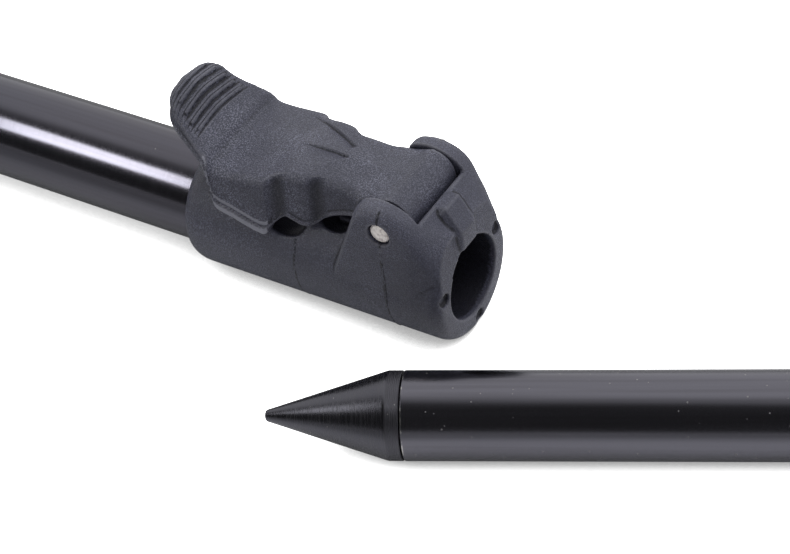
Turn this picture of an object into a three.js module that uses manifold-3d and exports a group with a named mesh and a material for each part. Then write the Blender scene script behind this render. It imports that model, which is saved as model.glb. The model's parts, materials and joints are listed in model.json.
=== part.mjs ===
// Telescopic bank stick with a cam lever lock, laid down with its lower section drawn out.
// Millimetres, +Z up. The upper section lies along X with the mouth of its lock facing +X, and the
// lower section lies in front of it, with its point by the lock.

import * as THREE from 'three';
import { mergeVertices } from 'three/addons/utils/BufferGeometryUtils.js';
import Module from 'manifold-3d';

const wasm = await Module();
wasm.setup();

// Upper section: a thick tube, the moulded lock on its lower end and a threaded insert in its top
const upperSectionLength = 280;
const upperTubeRadius = 10;
const upperTubeWall = 1.2;
const insertFlangeThickness = 2;
const insertSpigotLength = 14;
const insertThreadRadius = 4.1;

// Lower section: a thin tube that slides in the upper one, a turned point and an end plug
const lowerSectionLength = 285;
const lowerTubeRadius = 8;
const lowerTubeWall = 1.2;
const pointConeLength = 22.4;
const pointEndRadius = 1.1;
const pointCollarLength = 2.4;
const pointSpigotLength = 13;
const plugFlangeThickness = 1.6;
const plugSpigotLength = 12;
const edgeBreak = 0.4;

// Where the lower section lies: its point, from the centre of the lock's mouth, and its heading
const lowerPointBack = 18.9;
const lowerPointAside = 42.9;
const lowerHeading = THREE.MathUtils.degToRad(25.4);

// Clearances: pieces that seat on each other, the sliding tube, and the lever over the housing
const seatGap = 0.3;
const slideGap = 0.3;
const leverGap = 0.35;

// Housing of the lock: a barrel round the tubes, with two ears and a nose wall round the lever's cam
const housingLength = 57.4;
const housingRadius = 12.7;
const housingRearRadius = 11;
const rearRoundLength = 3.4;
const mouthRadius = 10.9;
const mouthRoundLength = 2.6;
const earHeight = 21;
const earHalfWidth = 12.5;
const earCorner = 2.6;
const humpLength = 22.2;
const noseRibHalfWidth = 2.3;
const noseRibBevel = 0.9;
const noseRibTop = 17.2;
const noseRibBack = 3;
const noseRibFoot = 12.6;
const noseSetBack = 0.9;
const noseLeanFoot = 3;
const noseWallThickness = 2.8;
const recessRadius = 1.4;
const recessDepth = 0.9;
const recessCircleRadius = 10.4;
const recessAngles = [26, 166, 274];

// Pivot of the lever, behind the mouth and above the axis of the tubes
const pivotBack = 11.3;
const pivotHeight = 16.1;
const pinRadius = 2;
const pinInset = 0.3;

// Cam and its pressure pad: the cam's radius falls by its lift while the lever opens by camSweep
const camRadius = 5.2;
const camLift = 0.6;
const camSweep = THREE.MathUtils.degToRad(100);
const camTopRadius = 4.9;
const camHalfWidth = 7.9;
const neckLength = 5;
const neckDrop = 3.2;
const padLength = 8;
const padWidth = 6;
const padFlange = 1;
const padFlangeThickness = 0.9;
const tubeStopLength = 7.4;

// Lever: from the pivot back to its free end, its rise above the pivot and its skirt's drop below
const leverLength = 50.1;
const leverRise = 12.7;
const leverDrop = 8.7;
const leverHalfWidth = 13.1;
const leverCorner = 2.2;
const leverChamfer = 0.4;
const leverLip = 0.55;
const leverLipHeight = 1.2;
const leverCrown = 0.5;
const leverDraft = THREE.MathUtils.degToRad(3.5);
const gripRibCount = 5;
const gripRibPitch = 1.35;
const gripRibRadius = 0.5;
const gripRibHalfLength = 7;
const gripRibBow = 0.35;
const gripRibStart = 41.8;

// Facets of round pieces, steps between two stations of a loft, and how far cutters run past
const roundFacets = 80;
const smallFacets = 28;
const arcSteps = 6;
const stationSteps = 3;
const ribFacets = 6;
const overrun = 3;

// Derived sizes
const boreRadius = lowerTubeRadius + slideGap;
const socketRadius = upperTubeRadius + seatGap;
const upperTubeBore = upperTubeRadius - upperTubeWall;
const lowerTubeBore = lowerTubeRadius - lowerTubeWall;
const pinHoleRadius = pinRadius + seatGap;
const pocketHalfWidth = camHalfWidth + seatGap;
const pocketRadius = camRadius + seatGap;
const pocketFloor = pivotHeight - pocketRadius;
const pivot = new THREE.Vector3(-pivotBack, 0, pivotHeight);
const tubeStop = pivotBack + padLength / 2 + padFlange + seatGap + tubeStopLength;

// Outlines as shares, from back to front. Hump: length, height, half width and corner radius.
const humpShares = [
  [1.0, 0.28, 1.0, 1.0],
  [0.752, 0.925, 1.0, 1.0],
  [0.703, 0.968, 1.0, 1.0],
  [0.631, 0.99, 1.0, 1.0],
  [0.54, 1.0, 1.0, 1.0],
  [0.414, 0.972, 1.0, 1.0],
  [0.324, 0.925, 1.0, 1.08],
  [0.261, 0.865, 0.992, 1.23],
  [0.207, 0.795, 0.968, 1.5],
  [0.135, 0.715, 0.928, 1.85],
  [0.072, 0.645, 0.88, 2.3],
  [0.022, 0.59, 0.85, 2.8],
  [0.0, 0.545, 0.835, 3.1],
];

// Lever: length behind the pivot, top as a share of the rise, underside as a share of the drop,
// and half width. The underside has two notches and the sides two scallops, as finger waists.
const leverShares = [
  [1.0, 0.835, 0.841, 0.244],
  [0.985, 0.937, 0.843, 0.405],
  [0.955, 1, 0.792, 0.565],
  [0.919, 0.929, 0.744, 0.672],
  [0.889, 0.778, 0.645, 0.725],
  [0.852, 0.605, 0.534, 0.775],
  [0.798, 0.453, 0.372, 0.859],
  [0.762, 0.37, 0.226, 0.912],
  [0.747, 0.291, 0.023, 0.969],
  [0.737, 0.267, -0.195, 0.985],
  [0.725, 0.244, -0.529, 1],
  [0.708, 0.236, -0.678, 1],
  [0.643, 0.236, -0.782, 1],
  [0.517, 0.283, -1, 0.992],
  [0.491, 0.315, -0.816, 0.924],
  [0.441, 0.37, -0.552, 0.84],
  [0.409, 0.385, -0.609, 0.817],
  [0.363, 0.393, -0.701, 0.802],
  [0.322, 0.393, -0.632, 0.763],
  [0.281, 0.378, -0.448, 0.687],
  [0.222, 0.362, -0.276, 0.672],
  [0.158, 0.346, -0.172, 0.672],
  [0.117, 0.354, -0.149, 0.702],
  [0, 0.378, -0.184, 0.74],
];

// Geometry helpers

// A closed solid from a geometry, turned outside out if its faces point inwards.
function solidFrom(geometry) {
  const shell = geometry.clone();
  shell.deleteAttribute('normal');
  shell.deleteAttribute('uv');
  const merged = mergeVertices(shell, seatGap / 300);
  const points = merged.attributes.position.array;
  const triangles = Uint32Array.from(merged.index.array);
  let volume = 0;
  for (let i = 0; i < triangles.length; i += 3) {
    const [a, b, c] = [0, 1, 2].map((k) => (
      new THREE.Vector3().fromArray(points, 3 * triangles[i + k])
    ));
    volume += a.dot(b.cross(c));
  }
  if (volume < 0) {
    for (let i = 0; i < triangles.length; i += 3) {
      [triangles[i], triangles[i + 1]] = [triangles[i + 1], triangles[i]];
    }
  }
  const mesh = new wasm.Mesh({
    numProp: 3,
    vertProperties: Float32Array.from(points),
    triVerts: triangles,
  });
  return new wasm.Manifold(mesh);
}

// A solid turned round the X axis from [radius, x] pairs.
function turned(profile, facets = roundFacets) {
  const outline = profile.map(([radius, x]) => new THREE.Vector2(radius, x));
  const closed = outline[0].x > 0 ? [...outline, outline[0].clone()] : outline;
  return solidFrom(new THREE.LatheGeometry(closed, facets).rotateZ(-Math.PI / 2));
}

// A quarter of an ellipse between two [radius, x] pairs, leaving the first one along x.
function quarterRound([r0, x0], [r1, x1], steps = arcSteps) {
  const points = [];
  for (let i = 0; i <= steps; i += 1) {
    const angle = (i / steps) * (Math.PI / 2);
    points.push([r1 + (r0 - r1) * Math.cos(angle), x0 + (x1 - x0) * Math.sin(angle)]);
  }
  return points;
}

// A side outline of [x, z] pairs, given a width across the stick and centred on y.
function slab(outline, halfWidth, centre = 0, bevel = 0) {
  const shape = new THREE.Shape(outline.map(([x, z]) => new THREE.Vector2(x, z)));
  const depth = 2 * (halfWidth - bevel);
  const geometry = new THREE.ExtrudeGeometry(shape, {
    depth,
    bevelEnabled: bevel > 0,
    bevelSize: bevel,
    bevelThickness: bevel,
    bevelOffset: -bevel,
    bevelSegments: 1,
  });
  return solidFrom(geometry.translate(0, 0, -depth / 2).rotateX(Math.PI / 2).translate(0, centre, 0));
}

function box(low, high) {
  const size = high.map((value, i) => value - low[i]);
  const middle = high.map((value, i) => (value + low[i]) / 2);
  return solidFrom(new THREE.BoxGeometry(...size).translate(...middle));
}

// A round bar across the stick, along Y.
function crossBar(radius, halfLength, centre, facets = smallFacets) {
  const bar = new THREE.CylinderGeometry(radius, radius, 2 * halfLength, facets);
  return solidFrom(bar.translate(centre.x, centre.y, centre.z));
}

// A solid through a row of rings with as many points each, closed by a fan at both ends.
function loft(rings) {
  const count = rings[0].length;
  const positions = rings.flat().flatMap((point) => point.toArray());
  const index = [];
  for (let row = 0; row + 1 < rings.length; row += 1) {
    for (let i = 0; i < count; i += 1) {
      const a = row * count + i;
      const b = row * count + ((i + 1) % count);
      index.push(a, b, a + count, b, b + count, a + count);
    }
  }
  const last = (rings.length - 1) * count;
  for (let i = 1; i + 1 < count; i += 1) {
    index.push(0, i + 1, i, last, last + i, last + i + 1);
  }
  const geometry = new THREE.BufferGeometry();
  geometry.setAttribute('position', new THREE.Float32BufferAttribute(positions, 3));
  geometry.setIndex(index);
  return solidFrom(geometry);
}

// One ring across the stick at x, from its foot up: chamfered foot that may have a lip, sides that
// may lean in, round shoulders and a crowned top.
function archRing(x, footHalfWidth, foot, top, corner, form = {}) {
  const { chamfer = 0, lip = 0, lipHeight = chamfer, crown = 0, draft = 0 } = form;
  const shoulder = top - crown;
  const halfWidth = footHalfWidth - lip - (shoulder - foot - lipHeight) * Math.tan(draft);
  const side = [[footHalfWidth - chamfer, foot], [footHalfWidth, foot + chamfer]];
  if (lip > 0) {
    side.push([footHalfWidth - lip, foot + lipHeight]);
  }
  for (let i = 0; i <= arcSteps; i += 1) {
    const angle = (i / arcSteps) * (Math.PI / 2);
    const reach = corner * (1 - Math.cos(angle));
    side.push([halfWidth - reach, shoulder - corner + corner * Math.sin(angle)]);
  }
  const near = side.map(([y, z]) => new THREE.Vector3(x, -y, z));
  const far = side.map(([y, z]) => new THREE.Vector3(x, y, z));
  return [...far, new THREE.Vector3(x, 0, top), ...near.reverse()];
}

// A table of stations with a smooth curve through each column, and extra stations between them.
function smoothed(stations) {
  const columns = stations[0].map((_, column) => new THREE.SplineCurve(
    stations.map((station, row) => new THREE.Vector2(row, station[column])),
  ));
  const spans = stations.length - 1;
  return Array.from({ length: spans * stationSteps + 1 }, (_, step) => {
    const along = step / (spans * stationSteps);
    return columns.map((column) => column.getPoint(along).y);
  });
}

function joined(solids) {
  return solids.reduce((whole, solid) => whole.add(solid));
}

function named(name, solid, material) {
  const { vertProperties, triVerts, numProp } = solid.getMesh();
  const geometry = new THREE.BufferGeometry();
  const points = new THREE.InterleavedBuffer(vertProperties, numProp);
  geometry.setAttribute('position', new THREE.InterleavedBufferAttribute(points, 3, 0));
  geometry.setIndex([...triVerts]);
  const plain = geometry.toNonIndexed();
  plain.computeVertexNormals();
  const mesh = new THREE.Mesh(plain, material);
  mesh.name = name;
  return mesh;
}

function finish(color, roughness, metalness) {
  return new THREE.MeshStandardMaterial({ color, roughness, metalness });
}

const mouldedPlastic = finish(0x35373a, 0.62, 0);
const glossAnodised = finish(0x15130f, 0.22, 0.6);
const satinAnodised = finish(0x17171b, 0.35, 0.5);
const turnedPoint = finish(0x1b1b20, 0.4, 0.5);
const bareSteel = finish(0xc9c3b8, 0.3, 1);
const insertMetal = finish(0x2a2a2c, 0.35, 0.8);
const padPlastic = finish(0x1c1c1d, 0.55, 0);

// Upper section, in a frame with its origin at the centre of the mouth and X along the tubes

function upperTube() {
  const front = -tubeStop - seatGap;
  const back = -upperSectionLength + insertFlangeThickness + seatGap;
  return turned([
    [upperTubeBore, back],
    [upperTubeRadius, back],
    [upperTubeRadius, front],
    [upperTubeBore, front],
  ]);
}

function topInsert() {
  const back = -upperSectionLength;
  const shoulder = back + insertFlangeThickness;
  const spigotRadius = upperTubeBore - seatGap;
  return turned([
    [insertThreadRadius + edgeBreak, back],
    [upperTubeRadius - edgeBreak, back],
    [upperTubeRadius, back + edgeBreak],
    [upperTubeRadius, shoulder],
    [spigotRadius, shoulder],
    [spigotRadius, shoulder + insertSpigotLength],
    [insertThreadRadius, shoulder + insertSpigotLength],
    [insertThreadRadius, back + edgeBreak],
  ]);
}

function housingBarrel() {
  const back = -housingLength;
  const rear = quarterRound([housingRadius, back + rearRoundLength], [housingRearRadius, back]);
  const nose = quarterRound([housingRadius, -mouthRoundLength], [mouthRadius, 0]);
  return turned([[0, back], ...rear.reverse(), ...nose, [0, 0]]);
}

function housingHump() {
  const [foot, ...rest] = humpShares;
  return loft([foot, ...smoothed(rest)].map(([length, height, width, corner]) => archRing(
    -length * humpLength,
    width * earHalfWidth,
    0,
    height * earHeight,
    corner * earCorner,
    { chamfer: edgeBreak },
  )));
}

function noseRib() {
  const rear = -pivotBack + camRadius;
  const outline = [
    [rear, boreRadius],
    [0, boreRadius],
    [0, noseRibFoot],
    [-noseRibBack, noseRibTop],
    [rear, noseRibTop],
  ];
  return slab(outline, noseRibHalfWidth + noseRibBevel, 0, noseRibBevel);
}

// In front of the nose: its face leans back above the tubes' axis, and the rib stays proud of it.
function noseLean() {
  const sky = earHeight + overrun;
  const outline = [
    [0, noseLeanFoot],
    [overrun, noseLeanFoot],
    [overrun, sky],
    [-noseSetBack, sky],
    [-noseSetBack, noseRibFoot - noseSetBack],
  ];
  return slab(outline, earHalfWidth + overrun);
}

// The room between the ears for the cam and the lever's neck, open to the back.
function leverPocket() {
  const back = -humpLength - overrun;
  const sky = earHeight + overrun;
  const front = -noseRibBack - noseWallThickness;
  const round = crossBar(pocketRadius, pocketHalfWidth, pivot, roundFacets);
  const neckRoom = slab([
    [back, pocketFloor],
    [-pivotBack, pocketFloor],
    [-pivotBack, pivotHeight],
    [front, pivotHeight],
    [front, sky],
    [back, sky],
  ], pocketHalfWidth);
  const overWall = box([front - seatGap, -pocketHalfWidth, noseRibTop], [overrun, pocketHalfWidth, sky]);
  return joined([round, neckRoom, overWall]);
}

// The stepped window for the pressure pad, from the pocket's floor into the bore.
function padWindow() {
  const ledge = pocketFloor - seatGap - padFlangeThickness;
  const halfFoot = [padLength / 2 + seatGap, padWidth / 2 + seatGap];
  const foot = box(
    [-pivotBack - halfFoot[0], -halfFoot[1], 0],
    [-pivotBack + halfFoot[0], halfFoot[1], pivotHeight],
  );
  const flange = box(
    [-pivotBack - halfFoot[0] - padFlange, -halfFoot[1] - padFlange, ledge],
    [-pivotBack + halfFoot[0] + padFlange, halfFoot[1] + padFlange, pivotHeight],
  );
  return foot.add(flange);
}

function mouthRecesses() {
  const pegs = recessAngles.map((degrees) => {
    const angle = THREE.MathUtils.degToRad(degrees);
    const centre = [recessCircleRadius * Math.cos(angle), recessCircleRadius * Math.sin(angle)];
    const peg = new THREE.CylinderGeometry(recessRadius, recessRadius, recessDepth + overrun, smallFacets);
    return solidFrom(peg.rotateZ(-Math.PI / 2).translate((overrun - recessDepth) / 2, ...centre));
  });
  return joined(pegs);
}

function lockHousing() {
  const socket = turned([
    [0, -housingLength - overrun],
    [socketRadius, -housingLength - overrun],
    [socketRadius, -tubeStop],
    [boreRadius, -tubeStop],
    [boreRadius, overrun],
    [0, overrun],
  ]);
  const pinHole = crossBar(pinHoleRadius, earHalfWidth + overrun, pivot);
  return housingBarrel()
    .add(housingHump())
    .subtract(noseLean())
    .add(noseRib())
    .subtract(leverPocket())
    .subtract(socket)
    .subtract(pinHole)
    .subtract(padWindow())
    .subtract(mouthRecesses());
}

// A spiral cam seen from the side: angle 0 points down and angles grow towards the mouth.
function camOutline() {
  const outline = [];
  const steps = roundFacets / 2;
  for (let i = 0; i <= steps; i += 1) {
    const angle = (i / steps) * Math.PI;
    const fallen = Math.min(angle / camSweep, 1) * camLift;
    const rest = Math.max(angle - camSweep, 0) / (Math.PI - camSweep);
    const radius = camRadius - fallen + rest * (camTopRadius - camRadius + camLift);
    outline.push([pivot.x + radius * Math.sin(angle), pivot.z - radius * Math.cos(angle)]);
  }
  outline.push([pivot.x - neckLength, pivot.z + neckDrop]);
  outline.push([pivot.x - neckLength, pivot.z - neckDrop]);
  outline.push([pivot.x - camRadius, pivot.z - neckDrop]);
  return outline;
}

const leverStations = smoothed(leverShares);
const leverForm = {
  chamfer: leverChamfer,
  lip: leverLip,
  lipHeight: leverLipHeight,
  crown: leverCrown,
  draft: leverDraft,
};

// The lever's top, underside and half width at a distance behind the pivot, between two stations.
function leverSection(distance) {
  const share = distance / leverLength;
  const after = Math.max(leverStations.findIndex(([length]) => length <= share), 1);
  const near = leverStations[after];
  const far = leverStations[after - 1];
  const mix = (share - near[0]) / (far[0] - near[0]);
  const [, top, foot, width] = near.map((value, i) => value + mix * (far[i] - value));
  const shoulder = pivotHeight + top * leverRise - leverCrown;
  const low = pivotHeight + foot * leverDrop;
  const corner = Math.min(leverCorner, (shoulder - low - leverLipHeight) * 0.9);
  return { shoulder, low, halfWidth: width * leverHalfWidth, corner };
}

function leverBlade() {
  return loft(leverStations.map(([length]) => {
    const { shoulder, low, halfWidth, corner } = leverSection(length * leverLength);
    const top = shoulder + leverCrown;
    return archRing(-pivotBack - length * leverLength, halfWidth, low, top, corner, leverForm);
  }));
}

// A round ridge across the grip, half sunk in its crowned top and bowed towards the free end.
function gripRib(distance) {
  const rings = [];
  for (let i = -arcSteps; i <= arcSteps; i += 1) {
    const across = i / arcSteps;
    const reach = distance + gripRibBow * (1 - across * across);
    const { shoulder, low, halfWidth, corner } = leverSection(reach);
    const flat = halfWidth - leverLip - (shoulder - low) * Math.tan(leverDraft) - corner;
    const y = across * Math.min(gripRibHalfLength, flat);
    const surface = shoulder + leverCrown * (1 - Math.abs(y) / flat);
    const ring = [];
    for (let k = 0; k < ribFacets; k += 1) {
      const angle = (2 * Math.PI * k) / ribFacets;
      const x = -pivotBack - reach + gripRibRadius * Math.cos(angle);
      ring.push(new THREE.Vector3(x, y, surface + gripRibRadius * Math.sin(angle)));
    }
    rings.push(ring);
  }
  return loft(rings);
}

function gripRibs() {
  return joined(Array.from({ length: gripRibCount }, (_, i) => gripRib(gripRibStart + i * gripRibPitch)));
}

// What the ears need left free on both sides of the cam: all in front of their sloping back edge.
function earRoom() {
  const [foot, shoulder] = humpShares;
  const slope = humpLength * (foot[0] - shoulder[0]) / (earHeight * (shoulder[1] - foot[1]));
  const edgeAt = (z) => -humpLength * shoulder[0] - slope * (earHeight * shoulder[1] - z) - leverGap;
  const low = -overrun;
  const high = earHeight + overrun;
  const outline = [[edgeAt(low), low], [overrun, low], [overrun, high], [edgeAt(high), high]];
  const halfWidth = leverHalfWidth / 2;
  const centre = camHalfWidth + halfWidth;
  return slab(outline, halfWidth, centre).add(slab(outline, halfWidth, -centre));
}

function camLever() {
  const barrelRoom = turned([
    [0, -housingLength - leverLength],
    [housingRadius + leverGap, -housingLength - leverLength],
    [housingRadius + leverGap, overrun],
    [0, overrun],
  ]);
  const frontRoom = box(
    [-pivotBack, -leverHalfWidth - overrun, 0],
    [overrun, leverHalfWidth + overrun, earHeight + overrun],
  );
  return leverBlade()
    .add(gripRibs())
    .subtract(barrelRoom)
    .subtract(frontRoom)
    .subtract(earRoom())
    .add(slab(camOutline(), camHalfWidth))
    .subtract(crossBar(pinHoleRadius, earHalfWidth, pivot));
}

function pivotPin() {
  const half = earHalfWidth - pinInset;
  const profile = [
    [0, -half],
    [pinRadius - edgeBreak, -half],
    [pinRadius, -half + edgeBreak],
    [pinRadius, half - edgeBreak],
    [pinRadius - edgeBreak, half],
    [0, half],
  ];
  return turned(profile, smallFacets).rotate([0, 0, 90]).translate([pivot.x, 0, pivot.z]);
}

// The pad the cam presses down on the lower tube: a foot hollowed to the tube under a flange.
function pressurePad() {
  const top = pocketFloor;
  const half = [padLength / 2, padWidth / 2];
  const foot = box([-pivotBack - half[0], -half[1], 0], [-pivotBack + half[0], half[1], top]);
  const flange = box(
    [-pivotBack - half[0] - padFlange, -half[1] - padFlange, top - padFlangeThickness],
    [-pivotBack + half[0] + padFlange, half[1] + padFlange, top],
  );
  const tubeRoom = turned([
    [0, -housingLength],
    [boreRadius, -housingLength],
    [boreRadius, 0],
    [0, 0],
  ]);
  return foot.add(flange).subtract(tubeRoom);
}

// Lower section, in a frame with its origin at the point and X along the tube

function groundPoint() {
  const collarStart = pointConeLength;
  const shoulder = collarStart + pointCollarLength;
  const spigotRadius = lowerTubeBore - seatGap;
  return turned([
    [0, 0],
    [pointEndRadius - edgeBreak, 0],
    [pointEndRadius, edgeBreak],
    [lowerTubeRadius, collarStart],
    [lowerTubeRadius, shoulder],
    [spigotRadius, shoulder],
    [spigotRadius, shoulder + pointSpigotLength],
    [0, shoulder + pointSpigotLength],
  ]);
}

function lowerTube() {
  const front = pointConeLength + pointCollarLength + seatGap;
  const back = lowerSectionLength - plugFlangeThickness - seatGap;
  return turned([
    [lowerTubeBore, front],
    [lowerTubeRadius, front],
    [lowerTubeRadius, back],
    [lowerTubeBore, back],
  ]);
}

function endPlug() {
  const back = lowerSectionLength;
  const shoulder = back - plugFlangeThickness;
  const spigotRadius = lowerTubeBore - seatGap;
  return turned([
    [0, shoulder - plugSpigotLength],
    [spigotRadius, shoulder - plugSpigotLength],
    [spigotRadius, shoulder],
    [lowerTubeRadius, shoulder],
    [lowerTubeRadius, back - edgeBreak],
    [lowerTubeRadius - edgeBreak, back],
    [0, back],
  ]);
}

const upperSection = new THREE.Group();
upperSection.position.set(0, 0, housingRadius);
upperSection.add(
  named('outer_tube', upperTube(), glossAnodised),
  named('top_insert', topInsert(), insertMetal),
  named('lock_housing', lockHousing(), mouldedPlastic),
  named('cam_lever', camLever(), mouldedPlastic),
  named('pivot_pin', pivotPin(), bareSteel),
  named('pressure_pad', pressurePad(), padPlastic),
);

const lowerSection = new THREE.Group();
lowerSection.position.set(-lowerPointBack, -lowerPointAside, lowerTubeRadius);
lowerSection.rotation.z = lowerHeading;
lowerSection.add(
  named('inner_tube', lowerTube(), satinAnodised),
  named('ground_point', groundPoint(), turnedPoint),
  named('inner_end_plug', endPlug(), padPlastic),
);

// The whole stick stands on z = 0 with the middle of its footprint at the origin.
const sections = new THREE.Group();
sections.add(upperSection, lowerSection);
const bounds = new THREE.Box3().setFromObject(sections, true);
const middle = bounds.getCenter(new THREE.Vector3());
sections.position.set(-middle.x, -middle.y, -bounds.min.z);

const bankStick = new THREE.Group();
bankStick.add(sections);
bankStick.updateMatrixWorld(true);

export default bankStick;
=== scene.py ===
"""Looks, light and camera of a telescopic bank stick, laid down with its thin section drawn out."""

import json
import logging
import math
from collections.abc import Iterable, Iterator
from contextlib import contextmanager
from dataclasses import dataclass
from enum import Enum
from typing import Any

import bmesh
import bpy
import numpy as np
from bmesh.types import BMesh, BMFace, BMVert
from bpy.types import Collection, Material, Node, NodeSocket, NodeTree, Object
from mathutils import Matrix, Vector, noise


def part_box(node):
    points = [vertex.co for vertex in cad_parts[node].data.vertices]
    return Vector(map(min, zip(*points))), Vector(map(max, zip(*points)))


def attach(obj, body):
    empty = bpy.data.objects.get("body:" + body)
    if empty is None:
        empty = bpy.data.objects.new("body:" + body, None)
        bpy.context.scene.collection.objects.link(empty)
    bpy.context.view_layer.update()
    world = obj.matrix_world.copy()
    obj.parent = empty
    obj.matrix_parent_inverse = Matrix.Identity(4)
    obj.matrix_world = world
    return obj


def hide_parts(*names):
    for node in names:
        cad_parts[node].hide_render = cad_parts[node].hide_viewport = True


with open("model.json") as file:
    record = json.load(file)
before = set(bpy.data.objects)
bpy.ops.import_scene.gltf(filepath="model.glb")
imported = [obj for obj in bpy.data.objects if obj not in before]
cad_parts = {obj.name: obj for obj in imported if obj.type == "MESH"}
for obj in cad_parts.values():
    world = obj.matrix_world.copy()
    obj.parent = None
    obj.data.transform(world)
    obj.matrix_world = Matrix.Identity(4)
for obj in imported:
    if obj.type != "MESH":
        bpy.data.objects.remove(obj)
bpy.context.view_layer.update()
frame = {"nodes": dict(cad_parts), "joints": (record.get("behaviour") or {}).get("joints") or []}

log = logging.getLogger("bank_stick")

MM = 0.001
WHITE = (1.0, 1.0, 1.0)
SATIN_TINT = (0.145, 0.142, 0.166)

# The attribute that says how far a point stands out of its surroundings: 0.5 on flat places. The nylon finish
# paints shade where it is low and a pale band where it is high, and pieces set it in chosen places to paint shade
# or highlight.
RELIEF = "relief"
FLAT = 0.5
FULL_BEND = 1.1 * MM
# Measured relief stays below the values that paint a highlight.
NATURAL_LIMIT = 0.9
RELIEF_SPREAD = 2

# Each smoothing pass is followed by one that swells the surface back to its size.
SMOOTHING = 0.5
SWELLING = -0.53
MERGE = 0.0005 * MM
STRETCH = 0.5 * MM

Colour = tuple[float, float, float]
Place = tuple[float, float, float]
Range = tuple[float, float]
Profile = list[tuple[float, float]]


class Body(Enum):
    """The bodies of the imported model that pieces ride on."""

    THICK_SECTION = "outer_section"
    LEVER = "lever"
    PAD = "pad"
    THIN_SECTION = "inner_section"


class Slot(Enum):
    """The record's material slots."""

    GLOSS = "gloss_anodised"
    SATIN = "satin_anodised"
    POINT = "turned_point"
    INSERT = "insert_metal"
    STEEL = "bare_steel"
    MOULDED = "moulded_plastic"
    PAD = "pad_plastic"


# Shader graphs


class Graph:
    """A node tree with short calls to add and link its nodes."""

    def __init__(self, tree: NodeTree) -> None:
        """Keep the tree that nodes are added to."""
        self.tree = tree

    def add(self, kind: str, inputs: dict[str | int, Any] | None = None, **settings: Any) -> Node:
        """Add a node.

        Args:
            kind: The node's type name.
            inputs: For each input, by name or index, a value or the socket to link.
            settings: The node's own properties.

        Returns:
            The new node.
        """
        node = self.tree.nodes.new(kind)
        for name, value in settings.items():
            setattr(node, name, value)
        for key, value in (inputs or {}).items():
            socket = node.inputs[key]
            if isinstance(value, NodeSocket):
                self.tree.links.new(value, socket)
            elif isinstance(value, tuple) and len(value) == 3 and socket.type == "RGBA":
                socket.default_value = (*value, 1.0)
            else:
                socket.default_value = value
        return node

    def math(self, operation: str, first: Any, second: Any) -> NodeSocket:
        """Return the result of one math node."""
        return self.add("ShaderNodeMath", {0: first, 1: second}, operation=operation).outputs[0]

    def times(self, first: Any, second: Any) -> NodeSocket:
        """Return the product of two values."""
        return self.math("MULTIPLY", first, second)

    def plus(self, first: Any, second: Any) -> NodeSocket:
        """Return the sum of two values."""
        return self.math("ADD", first, second)

    def rest(self, value: Any) -> NodeSocket:
        """Return what a value leaves of 1."""
        return self.math("SUBTRACT", 1.0, value)

    def ramp(self, value: NodeSocket, low: float, high: float) -> NodeSocket:
        """Step smoothly from 0 to 1.

        Args:
            value: The value that is compared.
            low: Where the step starts.
            high: Where it ends.

        Returns:
            The step's value.
        """
        node = self.add(
            "ShaderNodeMapRange",
            {"Value": value, "From Min": low, "From Max": high, "To Min": 0.0, "To Max": 1.0},
            interpolation_type="SMOOTHSTEP",
        )
        return node.outputs["Result"]

    def tint(self, factor: Any, first: Any, second: Any) -> NodeSocket:
        """Mix two colours.

        Args:
            factor: The share of the second colour.
            first: The first colour.
            second: The second colour.

        Returns:
            The mixed colour.
        """
        node = self.add("ShaderNodeMix", data_type="RGBA")
        sockets = [socket for socket in node.inputs if socket.enabled]
        for socket, value in zip(sockets, (factor, first, second)):
            if isinstance(value, NodeSocket):
                self.tree.links.new(value, socket)
            else:
                socket.default_value = value if isinstance(value, float) else (*value, 1.0)
        return next(socket for socket in node.outputs if socket.enabled)

    def noise(self, vector: Any, scale: float, detail: float = 2.0, rough: float = 0.5) -> NodeSocket:
        """Return the value of a noise texture."""
        inputs = {"Vector": vector, "Scale": scale, "Detail": detail, "Roughness": rough}
        return self.add("ShaderNodeTexNoise", inputs).outputs[0]

    def stretched(self, vector: Any, scale: Place = (1.0, 1.0, 1.0), turn: float = 0.0) -> NodeSocket:
        """Return coordinates turned about the upright axis and then scaled."""
        turned = self.add("ShaderNodeMapping", {"Vector": vector, "Rotation": (0.0, 0.0, -turn)})
        return self.add("ShaderNodeMapping", {"Vector": turned.outputs[0], "Scale": scale}).outputs[0]

    def effect(self, tree: NodeTree, vector: Any, **values: float) -> Any:
        """Place a shared node group and return its outputs."""
        return self.add("ShaderNodeGroup", {"Vector": vector, **values}, node_tree=tree).outputs

    def skin(
        self, colour: Any, rough: Any, height: Any, strength: float, depth: float, more: dict[str, Any],
    ) -> Node:
        """Return the shader of a bumped surface.

        Args:
            colour: Its base colour.
            rough: Its roughness.
            height: The height of its bumps.
            strength: How strong the bumps show.
            depth: How deep they are, in metres.
            more: The shader's other inputs.

        Returns:
            The shader node.
        """
        bump = self.add("ShaderNodeBump", {"Strength": strength, "Distance": depth, "Height": height})
        surface = {"Base Color": colour, "Roughness": rough, "Normal": bump.outputs[0]}
        return self.add("ShaderNodeBsdfPrincipled", {**surface, **more})


def group_tree(name: str, inputs: dict[str, float | None], outputs: tuple[str, ...]) -> tuple[Graph, Any]:
    """Start a shader node group.

    Args:
        name: The group's name.
        inputs: Each input with its default value, or None for a vector.
        outputs: The names of the value outputs.

    Returns:
        The group's graph, and its inputs as sockets to link from.
    """
    tree = bpy.data.node_groups.new(name, "ShaderNodeTree")
    for label, default in inputs.items():
        kind = "NodeSocketVector" if default is None else "NodeSocketFloat"
        socket = tree.interface.new_socket(name=label, in_out="INPUT", socket_type=kind)
        if default is not None:
            socket.default_value = default
    for label in outputs:
        tree.interface.new_socket(name=label, in_out="OUTPUT", socket_type="NodeSocketFloat")
    graph = Graph(tree)
    return graph, graph.add("NodeGroupInput").outputs


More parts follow.
